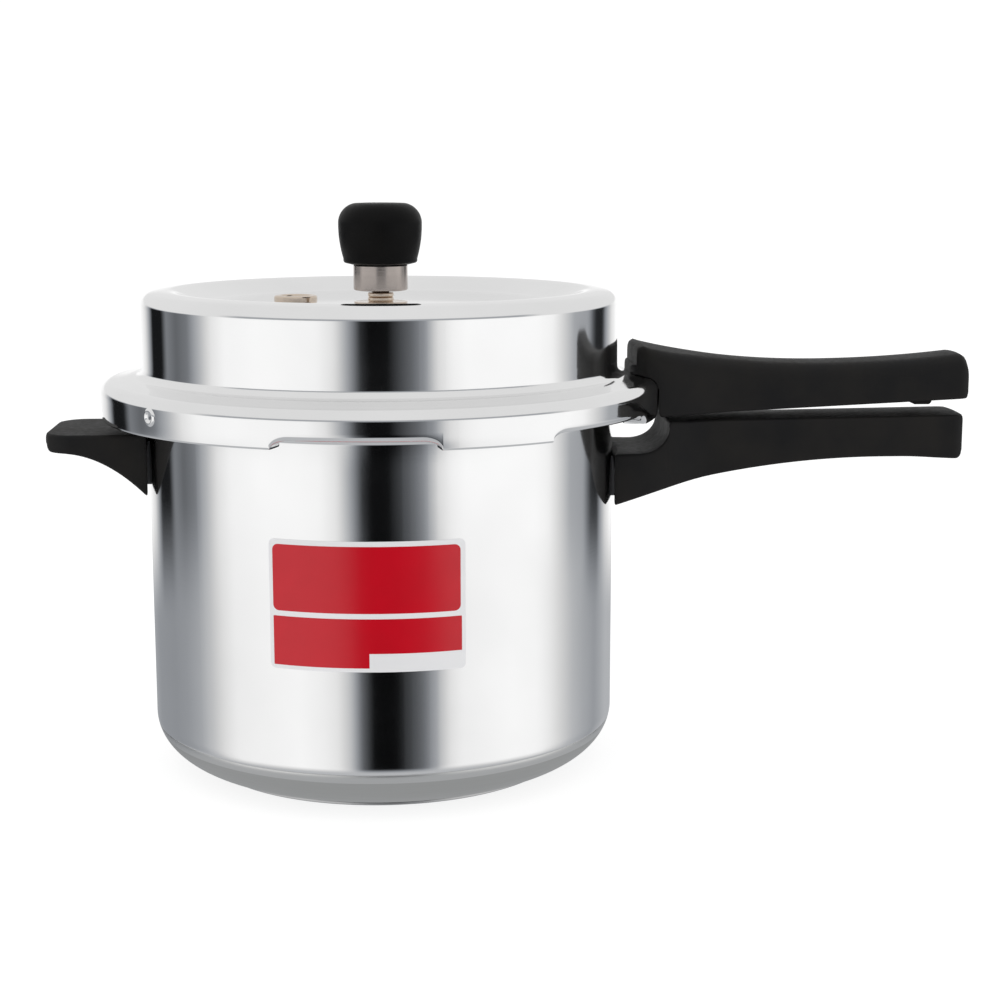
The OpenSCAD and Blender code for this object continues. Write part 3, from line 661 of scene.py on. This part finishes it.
def make_gasket():
    """Rubber ring with two lips that close on the rim and the lid, and a slot between them from inside."""
    low, top, out = GASKET_LOW, GASKET_TOP, GASKET_R
    inner, slot = DRUM_R + 2, out - 5
    pts = arc(inner + 1, low + 1.1, 1.0, 180, 270, 5) + [(out - 0.6, low), (out, low + 0.6), (out, top - 3)]
    pts += [(out - 1.5, top - 1.4), (out - 3, top)] + arc(inner + 6, top - 1.1, 1.1, 90, 270, 8)
    pts += [(slot, top - 2.8), (slot - 0.6, (low + top) / 2), (slot, low + 2.8), (inner + 1, low + 2.2)]
    ring = lathe("gasket_ring", pts)
    dress(ring, "gasket_rubber", "seal", "gasket_rubber", "gasket")


# ---- Handles ----
GRIP_HALF = 17.5


def on_arc(r, y, turned):
    """The place along X of a station at distance r.

    It is on a circle round the pot when turned is 1, and straight across when it is 0.
    """
    return r - turned * (r - math.sqrt(max(r * r - y * y, 1.0)))


def plan_half(r, root_r, root_half, flare, tip, tip_r=5.5):
    """Half width along a long handle: wide at the root, narrow on the grip and round at the tip."""
    t = (r - root_r - flare / 4) / flare
    half = GRIP_HALF + (root_half - GRIP_HALF) * (1 + math.cos(math.pi * min(max(t, 0.0), 1.0))) / 2
    into_tip = r - (tip - tip_r)
    if into_tip > 0:
        half -= tip_r - math.sqrt(max(tip_r ** 2 - min(into_tip, tip_r * 0.97) ** 2, 0.0))
    return half


def tip_inset(r, tip, radius):
    """How far the top or bottom draws in at a rounded end."""
    into_tip = min(max(r - (tip - radius), 0.0), radius * 0.98)
    return radius - math.sqrt(radius ** 2 - into_tip ** 2)


def tip_stations(tip, radius, n=14):
    """Distances that crowd towards a rounded end."""
    return [tip - radius * (1 - math.sin(math.radians(90 * i / n))) for i in range(1, n + 1)]


def handle_ring(r, half, low, top, r_top, r_low, crown, turned, under=None):
    """One station of a handle. Where it follows the pot's wall, its underside keeps its height along X."""
    ring = rounded_section(half, low, top, r_top, r_low, crown)
    out = []
    for y, z in ring:
        x = on_arc(r, y, turned)
        drop = (under(x) - under(r)) * (top - z) / (top - low) if under else 0.0
        out.append((x, y, z + drop))
    return out


def make_pot_handle():
    """Long lower handle: a ledge by the wall, a hollow fillet up to the grip, and a root that sweeps down."""
    root, tip = ROOT_R, POT_TIP - 0.7
    step, grip = RIM_Z - 22.4, RIM_Z - 7.2
    crown_z, low_z = grip - 19.3, RIM_Z - 48.3
    fillet_end, fillet_r = POT_R + 24.5, 11.5
    root_round, lip_r, tip_r = 0.9, 1.6, 6

    def low(r):
        """Underside: a long sweep up from the root, with a slight droop to the tip."""
        t = (r - POT_R + 8) / 135
        return crown_z - (crown_z - low_z) * (1 - min(t, 1.0)) ** 2 - 1.3 * smooth_step((r - tip + 30) / 30)

    def top(r):
        return grip - 1.2 + 1.8 * (r - fillet_end) / (tip - fillet_end)

    # Each row is a distance, the heights of the underside and the top, and how far the root's edge draws in
    rows = []
    for r in (root, root + 0.25, root + 0.9, root + 2.0, root + 5.0, root + 8.0, fillet_end - fillet_r - 0.5):
        draw = root_round - min(r - root, root_round)
        draw = root_round - math.sqrt(max(root_round ** 2 - draw * draw, 0.0))
        rows.append((r, low(r) + draw, step - draw, draw))
    for i in range(1, 13):
        a = math.radians(90 * i / 12)
        r = fillet_end - fillet_r + fillet_r * math.sin(a)
        rows.append((r, low(r), step + fillet_r * (1 - math.cos(a)), 0.0))
    for a in (10, 30, 50, 70, 90):
        c, s = math.cos(math.radians(a)), math.sin(math.radians(a))
        r = fillet_end + lip_r * (1 - c)
        rows.append((r, low(r), top(fillet_end) - lip_r * (1 - s), 0.0))
    grip_start, steps = fillet_end + lip_r, 34
    distances = [grip_start + (tip - tip_r - grip_start) * i / steps for i in range(1, steps + 1)]
    rows += [(r, low(r), top(r), 0.0) for r in distances + tip_stations(tip, tip_r)]
    rings = []
    for r, z0, z1, draw in rows:
        half = plan_half(r, POT_R - 8, 30, 44, tip) - draw
        turned = 1 - smooth_step((r - root - 4) / 22)
        crown = 0.35 * smooth_step((r - fillet_end - 3) / 8)
        rings.append(handle_ring(r, half, z0 + tip_inset(r, tip, 3.5), z1 - tip_inset(r, tip, 1.6),
                                 1.8, 1.6, crown, turned, low))
    handle = loft("pot_grip", rings)
    dress(handle, "black_phenolic", "pot", "black_phenolic", "pot_handle")


def make_lid_handle():
    """Long upper handle: a low tongue and an upright root on the lid's shoulder, and a waisted top."""
    tongue, root = DRUM_R + 5.4, DRUM_R + 7.6
    nose_half, nose_len = 9.0, 11.0
    tip = LID_TIP - 0.3
    waist_r, waist_z = POT_R + 95, RIM_Z + 17.8
    root_z, tip_z = waist_z + 8.9, waist_z + 4.0
    tongue_z = SHOULDER_Z + 5.3
    low_z = LID_LOW - 1.3
    wall = COLLAR_R + 0.45
    gap = 0.12
    root_round, heel = 2.2, 2.2

    def shoulder(r):
        """The height just above the lid's shoulder and its round edge."""
        edge_c, edge_z = COLLAR_R - SHOULDER_EDGE_R, SHOULDER_Z - SHOULDER_EDGE_R
        if r <= edge_c:
            return SHOULDER_Z + gap + 1.4 * (edge_c - r) / (edge_c - DRUM_R - 4)
        return edge_z + math.sqrt(max((SHOULDER_EDGE_R + gap) ** 2 - (r - edge_c) ** 2, 0.0))

    def top(r):
        """A shallow hollow with its lowest point at the waist."""
        if r < waist_r:
            return waist_z + (root_z - waist_z) * ((waist_r - r) / (waist_r - root - 2)) ** 2
        return waist_z + (tip_z - waist_z) * ((r - waist_r) / (tip - 3 - waist_r)) ** 2

    def low(r):
        return low_z + 0.2 + 6.7 * (r - COLLAR_R) / (tip - 4 - COLLAR_R)

    # Each row is a distance and the heights of the underside and the top. First the tongue
    rows = [(r, shoulder(r), z) for r, z in (
        (tongue, tongue_z - 1.8), (tongue + 0.1, tongue_z - 1.1), (tongue + 0.5, tongue_z - 0.4),
        (tongue + 1.2, tongue_z), (root - 0.3, tongue_z + 0.1), (root - 0.05, tongue_z + 0.7))]
    for a in (0, 20, 40, 60, 80):
        c, s = math.cos(math.radians(a)), math.sin(math.radians(a))
        r = root + root_round * (1 - c)
        rows.append((r, shoulder(r), root_z - 0.6 - root_round * (1 - s)))
    # Over the shoulder and its round edge, then down outside the skirt
    over = [root + 3.0, root + 4.5]
    over += [COLLAR_R - d for d in (7.5, 6.0, 4.5, 3.0, 1.6, 0.6, -0.1)] + [wall - 0.05]
    rows += [(r, shoulder(r), top(r)) for r in over]
    rows += [(r, z, top(r)) for r, z in (
        (wall, LID_LOW + 12), (wall + 0.02, LID_LOW + 7), (wall + 0.05, low_z + 2.6),
        (wall + 0.35, low_z + 1.2), (wall + 1.0, low_z + 0.4), (wall + heel, low_z + 0.25))]
    grip_start, tip_r, steps = wall + heel, 7, 34
    distances = [grip_start + (tip - tip_r - grip_start) * i / steps for i in range(1, steps + 1)]
    rows += [(r, low(r), top(r)) for r in distances + tip_stations(tip, tip_r, 18)]
    rings = []
    for r, z0, z1 in rows:
        half = plan_half(r, tongue, 24, 40, tip)
        # Seen from above the root is a blunt nose with broad round corners
        short = 1 - min(max(r - tongue, 0.0) / nose_len, 1.0)
        half = nose_half + (half - nose_half) * math.sqrt(max(1 - short * short, 0.0))
        # The root is flat; round the collar the stations follow its wall
        turned = smooth_step((r - POT_R - 10) / 8) * (1 - smooth_step((r - wall - 1) / 24))
        round_top = 0.8 if r < root - 0.2 else 2.6 + 5.4 * smooth_step((r - root) / 30)
        round_low = 1.6 if r > wall else 0.5
        crown = 0.4 * smooth_step((r - root) / 20)
        rings.append(handle_ring(r, half, z0 + tip_inset(r, tip, 1.5), z1 - tip_inset(r, tip, 6.0),
                                 round_top, round_low, crown, turned))
    handle = loft("lid_grip", rings)
    dress(handle, "black_phenolic", "lid", "black_phenolic", "lid_handle")
    # Small pad under the tip
    pad_r, pad_half = tip - 21.5, 12.0
    pad_low = low(pad_r)
    rings = []
    for x, d in ((-4.6, 0.0), (-4.4, 1.2), (-3.4, 2.1), (3.4, 2.1), (4.4, 1.2), (4.6, 0.0)):
        ring = rounded_section(pad_half, pad_low - d, pad_low + 0.5, 0.2, 0.6)
        rings.append([(pad_r + x, y, z) for y, z in ring])
    pad = loft("lid_grip_pad", rings)
    dress(pad, "black_phenolic", "lid", "black_phenolic")


def make_helper_handle():
    """Short handle on the other side: a flat top, and an underside that sweeps down to the wall."""
    root, tip = ROOT_R, HELPER_TIP - 0.2
    top, thick = RIM_Z - 11.4, 8.4
    low_root = top - 36
    bend_start, bend_end = POT_R - 8, tip - 8
    root_round, tip_r = 1.2, 13.0

    def low(r):
        t = min(max((r - bend_start) / (bend_end - bend_start), 0.0), 1.0)
        return top - thick - (top - thick - low_root) * (1 - t) ** 2

    grip_start = root + root_round
    distances = [root, root + 0.2, root + 0.6, grip_start]
    distances += [grip_start + (tip - tip_r - grip_start) * i / 16 for i in range(1, 17)]
    distances += tip_stations(tip, tip_r, 24)
    rings = []
    for r in distances:
        draw = root_round - min(r - root, root_round)
        draw = root_round - math.sqrt(max(root_round ** 2 - draw * draw, 0.0))
        # Seen from above the end is a shallow bow, and its corners are round
        half = HELPER_HALF - draw - 1.35 * tip_inset(r, tip, tip_r)
        turned = 1 - smooth_step((r - root - 2) / 26)
        rings.append(handle_ring(r, half, low(r) + draw + tip_inset(r, tip, 3.5),
                                 top - draw - tip_inset(r, tip, 1.8), 1.8, 1.6, 0.0, turned, low))
    handle = loft("helper_grip", rings, mirror=True)
    dress(handle, "black_phenolic", "pot", "black_phenolic", "helper_handle")


# ---- Weight, vent and safety plug ----
STEM_R, STEM_H = 8.0, 12.8


def make_knob():
    """Round grip, widest near its top, with a socket for the weight's stem."""
    taper, big, low_round, lean_z = 2.2, 9.2, 1.2, 2.9
    low_r = KNOB_R - taper
    low, top = KNOB_LOW, KNOB_TOP
    socket_r, socket_top = STEM_R + 0.1, low + STEM_H + 0.4
    pts = [(socket_r, low + 0.05), (WEIGHT_R, low + 0.05), (low_r - 1.6, low + 0.75)]
    pts += arc(low_r - low_round, low + 2.1, low_round, -70, -8, 6)
    side_top = top - big - 1
    for i in range(13):
        f = i / 12
        pts.append((KNOB_R - taper * (1 - f) ** 2, low + lean_z + (side_top - low - lean_z) * f))
    pts += arc(KNOB_R - big, top - big, big, 0, 80, 18)
    # A faint parting line where the knob's flat top begins
    pts += [(9.6, top - 0.06), (9.2, top - 0.04), (9.0, top - 0.12), (8.8, top - 0.04), (8.4, top - 0.02),
            (4.0, top), (0, top)]
    pts += [(0, socket_top), (socket_r, socket_top)]
    knob = lathe("knob", pts, even_turn(3.0))
    dress(knob, "knob_phenolic", "weight", "black_phenolic", "weight_knob")


def make_weight():
    """Turned sleeve with a stem that sits in the knob, bored through for the vent."""
    r, low, top = WEIGHT_R, WEIGHT_LOW, KNOB_LOW - 0.12
    bore, edge_r = 5.0, 0.8
    pts = [(bore, low + 0.3), (bore + 0.3, low)] + split((bore + 1, low), (r - edge_r - 0.1, low), 3)
    pts += arc(r - edge_r, low + edge_r, edge_r, -90, 0, 6)
    pts += split((r, low + 1.4), (r, top - 0.4), 6) + [(r - 0.02, top - 0.3), (r - 0.3, top)]
    pts += [(STEM_R, top), (STEM_R, top + STEM_H), (bore, top + STEM_H)]
    body = lathe("weight_sleeve", pts, even_turn(3.0))
    dress(body, "weight_steel", "weight", "weight_steel", "weight_body")


def make_vent():
    """Two rounded rings at the foot of a tube that the weight stands on, on a thin washer."""
    top, under = edge("vent_tube", 2, 1), edge("vent_tube", 2, 0)
    ring_h, collar, stem, bore, shank, seat_t = 2.1, 6.0, 3.6, 1.6, 4.5, 0.4
    round_r, tip_edge = 0.55, 0.4
    foot = DISH_Z + seat_t
    pts = [(bore, under), (shank, under), (shank, foot), (collar - 0.4, foot)]
    for i in range(2):
        z = foot + i * ring_h
        pts += arc(collar - round_r, z + 0.65, round_r, -80, 0, 4)
        pts += arc(collar - round_r, z + ring_h - 0.6, round_r, 0, 80, 4)
        pts += [(collar - 0.7, z + ring_h)]
    z = foot + 2 * ring_h
    pts += [(stem + 0.5, z), (stem, z + 0.5)] + split((stem, z + 1), (stem, top - 0.5), 4)
    pts += [(stem, top - 0.5), (stem - tip_edge, top), (bore, top)]
    tube = lathe("vent_pipe", pts, even_turn(5.0), sharp=30)
    dress(tube, "nickel_brass", "lid", "nickel_brass", "vent_tube")

    seat_r, seat_edge = edge("vent_seat", 0, 1), 0.25
    section = [(shank + 0.1, DISH_Z), (shank + 0.1, foot), (collar, foot)]
    section += arc(seat_r - seat_edge, foot - seat_edge, seat_edge, 90, 0, 4) + [(seat_r, DISH_Z)]
    seat = lathe("vent_seat_disc", section, even_turn(3.0))
    dress(seat, "nickel_brass", "lid", "nickel_brass", "vent_seat")


def make_safety_plug():
    """Round plug with a raised rolled rim and a small collar round its core."""
    low_corner, high_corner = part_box("safety_plug")
    centre = ((low_corner.x + high_corner.x) / 2 / MM, (low_corner.y + high_corner.y) / 2 / MM)
    out = (high_corner.x - low_corner.x) / 2 / MM
    under, z = low_corner.z / MM, DISH_Z
    core_r, shank_r, roll, roll_z = 3.0, 6.0, 1.1, z + 0.9
    pts = [(core_r, under), (shank_r, under), (shank_r, z - 0.01), (out, z - 0.01), (out, z + 0.7)]
    pts += arc(out - roll, roll_z, roll, 0, 90, 8) + arc(out - 2 * roll, roll_z, roll, 90, 180, 8)
    pts += [(out - 3.4, z + 0.5), (6.4, z + 0.35), (4.6, z + 0.5),
            (4.2, z + 0.95), (core_r + 0.2, z + 1.05), (core_r, z + 0.9)]
    plug = lathe("safety_plug_body", pts, even_turn(5.0), centre)
    dress(plug, "nickel_brass", "lid", "nickel_brass", "safety_plug")


make_pot()
make_base_plate()
make_label()
make_lid()
make_dimple()
make_gasket()
make_pot_handle()
make_lid_handle()
make_helper_handle()
make_knob()
make_weight()
make_vent()
make_safety_plug()

# CAD pieces whose shape is right keep it, and take the material with the name of their slot
for part in frame["record"]["subparts"]:
    node = frame["nodes"][part["node"]]
    if not node.hide_render:
        node.data.materials.clear()
        node.data.materials.append(MATERIALS[part["material_slot"]])

# ---- Studio ----
scene = bpy.context.scene
scene.view_settings.view_transform = "Standard"


def make_floor():
    """A pale floor a hair below the object. It glows a little, and polished metal doesn't mirror it."""
    reach = 6000.0
    corners = [(-reach, -reach, 0), (reach, -reach, 0), (reach, reach, 0), (-reach, reach, 0)]
    floor = finish_mesh("studio_floor", corners, [(0, 1, 2, 3)])
    floor.location.z = -0.0002
    m = Nodes("studio_floor")
    tone = m.noise(3.0, 2.0)
    m.link(m.mix(tone, rgb(0.3, 0.3, 0.3), rgb(0.32, 0.32, 0.32)), "Base Color")
    m.set(Roughness=0.9, Specular_IOR_Level=0.1)
    m.set(Emission_Color=rgb(1, 1, 1), Emission_Strength=0.82)
    floor.data.materials.append(m.mat)
    floor.visible_glossy = False


# How bright the studio is round the object: an angle from straight in front, towards +X, and a level.
# The first curve is at the object's height and the second is low down
ROUND_LEVEL = [
    (-180, 1.05), (-160, 1.0), (-150, 0.8), (-142, 0.3), (-138, 0.01), (-126, 0.01), (-121, 0.22),
    (-112, 0.14), (-103, 0.2), (-94, 0.5), (-86, 0.86), (-78, 1.02), (-60, 1.06), (-30, 1.02),
    (-22, 0.86), (-16, 0.42), (-10, 0.03), (-6, 0.004), (3, 0.006), (8, 0.06), (14, 0.15), (20, 0.31),
    (26, 0.78), (33, 0.98), (40, 1.06), (79, 1.07), (88, 1.0), (95, 0.74), (104, 0.42), (116, 0.38),
    (121, 0.1), (124, 0.02), (132, 0.02), (136, 0.3), (146, 0.8), (156, 1.05), (180, 1.05)]
ROUND_LOW = [
    (-180, 0.45), (-150, 0.32), (-126, 0.31), (-114, 0.34), (-103, 0.42), (-94, 0.58), (-85, 0.82),
    (-77, 0.96), (-56, 1.0), (-42, 1.03), (-30, 0.96), (-23, 0.87), (-17, 0.6), (-11, 0.12), (-6, 0.003),
    (6, 0.003), (13, 0.07), (19, 0.16), (25, 0.42), (32, 0.85), (38, 0.97), (65, 1.05), (80, 1.03),
    (88, 0.94), (97, 0.73), (107, 0.53), (117, 0.43), (130, 0.35), (148, 0.48), (180, 0.45)]
CEILING = 0.8
STRIP = 0.4
UNDER = 0.52
BACKDROP = 1.06


def make_world():
    """A studio of bright and dark screens round the object, which its polished metal mirrors."""
    world = bpy.data.worlds.new("studio")
    scene.world = world
    world.use_nodes = True
    tree = world.node_tree
    nodes, links = tree.nodes, tree.links
    nodes.clear()

    def node(kind, **props):
        made = nodes.new(kind)
        for key, value in props.items():
            setattr(made, key, value)
        return made

    def put(value, socket):
        if isinstance(value, bpy.types.NodeSocket):
            links.new(value, socket)
        else:
            socket.default_value = value

    def blend(fac, a, b):
        made = node("ShaderNodeMix", data_type="FLOAT")
        for value, socket in ((fac, made.inputs[0]), (a, made.inputs[2]), (b, made.inputs[3])):
            put(value, socket)
        return made.outputs[0]

    def ramp(value, low, high):
        """0 below the span and 1 above it, with a soft passage."""
        made = node("ShaderNodeMapRange", interpolation_type="SMOOTHSTEP")
        for name, number in (("Value", value), ("From Min", low), ("From Max", high)):
            put(number, made.inputs[name])
        return made.outputs[0]

    def table(value, rows, most=1.2):
        """Brightness as a curve through the rows, drawn between 0 and 1 and scaled back."""
        made = node("ShaderNodeFloatCurve")
        curve = made.mapping.curves[0]
        points = [((a + 180) / 360, v / most) for a, v in rows]
        curve.points[0].location = points[0]
        curve.points[1].location = points[-1]
        for p in points[1:-1]:
            curve.points.new(*p)
        for p in curve.points:
            p.handle_type = "VECTOR"
        made.mapping.update()
        put(value, made.inputs["Value"])
        gain = node("ShaderNodeMath", operation="MULTIPLY")
        put(made.outputs[0], gain.inputs[0])
        gain.inputs[1].default_value = most
        return gain.outputs[0]

    parts = node("ShaderNodeSeparateXYZ")
    put(node("ShaderNodeTexCoord").outputs["Generated"], parts.inputs[0])
    x, y, z = parts.outputs
    back = node("ShaderNodeMath", operation="MULTIPLY")
    put(y, back.inputs[0])
    back.inputs[1].default_value = -1.0
    turn = node("ShaderNodeMath", operation="ARCTAN2")
    put(x, turn.inputs[0])
    put(back.outputs[0], turn.inputs[1])
    share = node("ShaderNodeMapRange")
    put(turn.outputs[0], share.inputs["Value"])
    share.inputs["From Min"].default_value = -math.pi
    share.inputs["From Max"].default_value = math.pi

    level = table(share.outputs[0], ROUND_LEVEL)
    low = table(share.outputs[0], ROUND_LOW)
    sides = blend(ramp(z, -0.235, -0.17), low, level)
    # A duller strip above the front screens marks the round edges of the lid
    over = blend(ramp(back.outputs[0], 0.1, 0.4), CEILING, blend(ramp(z, 0.2, 0.32), STRIP, CEILING))
    above = blend(ramp(z, 0.02, 0.1), sides, over)
    light = blend(ramp(z, -0.6, -0.4), UNDER, above)
    tint = node("ShaderNodeMix", data_type="RGBA")
    put(ramp(light, 0.15, 0.8), tint.inputs[0])
    put(rgb(0.93, 0.98, 1.06), tint.inputs[6])
    put(rgb(1.0, 1.0, 1.0), tint.inputs[7])
    seen = node("ShaderNodeLightPath").outputs["Is Camera Ray"]
    background = node("ShaderNodeBackground")
    put(tint.outputs[2], background.inputs["Color"])
    put(blend(seen, light, BACKDROP), background.inputs["Strength"])
    put(background.outputs[0], node("ShaderNodeOutputWorld").inputs["Surface"])


def make_lights():
    """One broad soft lamp overhead, which shows in no reflection."""
    light = bpy.data.lights.new("overhead", "AREA")
    light.shape = "RECTANGLE"
    light.size, light.size_y = 2.4, 2.4
    light.energy = 9
    lamp = bpy.data.objects.new("overhead", light)
    lamp.location = (0, 0, 2.2)
    lamp.visible_glossy = False
    lamp.visible_camera = False
    scene.collection.objects.link(lamp)


def make_camera():
    """In front and a little above, looking down 10 degrees."""
    data = bpy.data.cameras.new("camera")
    data.lens = 68.9
    data.sensor_width = 36.0
    cam = bpy.data.objects.new("camera", data)
    cam.location = (0, -0.8927, 0.2801)
    cam.rotation_euler = (math.pi / 2 - 0.176, 0.0, -0.062)
    scene.collection.objects.link(cam)
    scene.camera = cam


make_floor()
make_world()
make_lights()
make_camera()
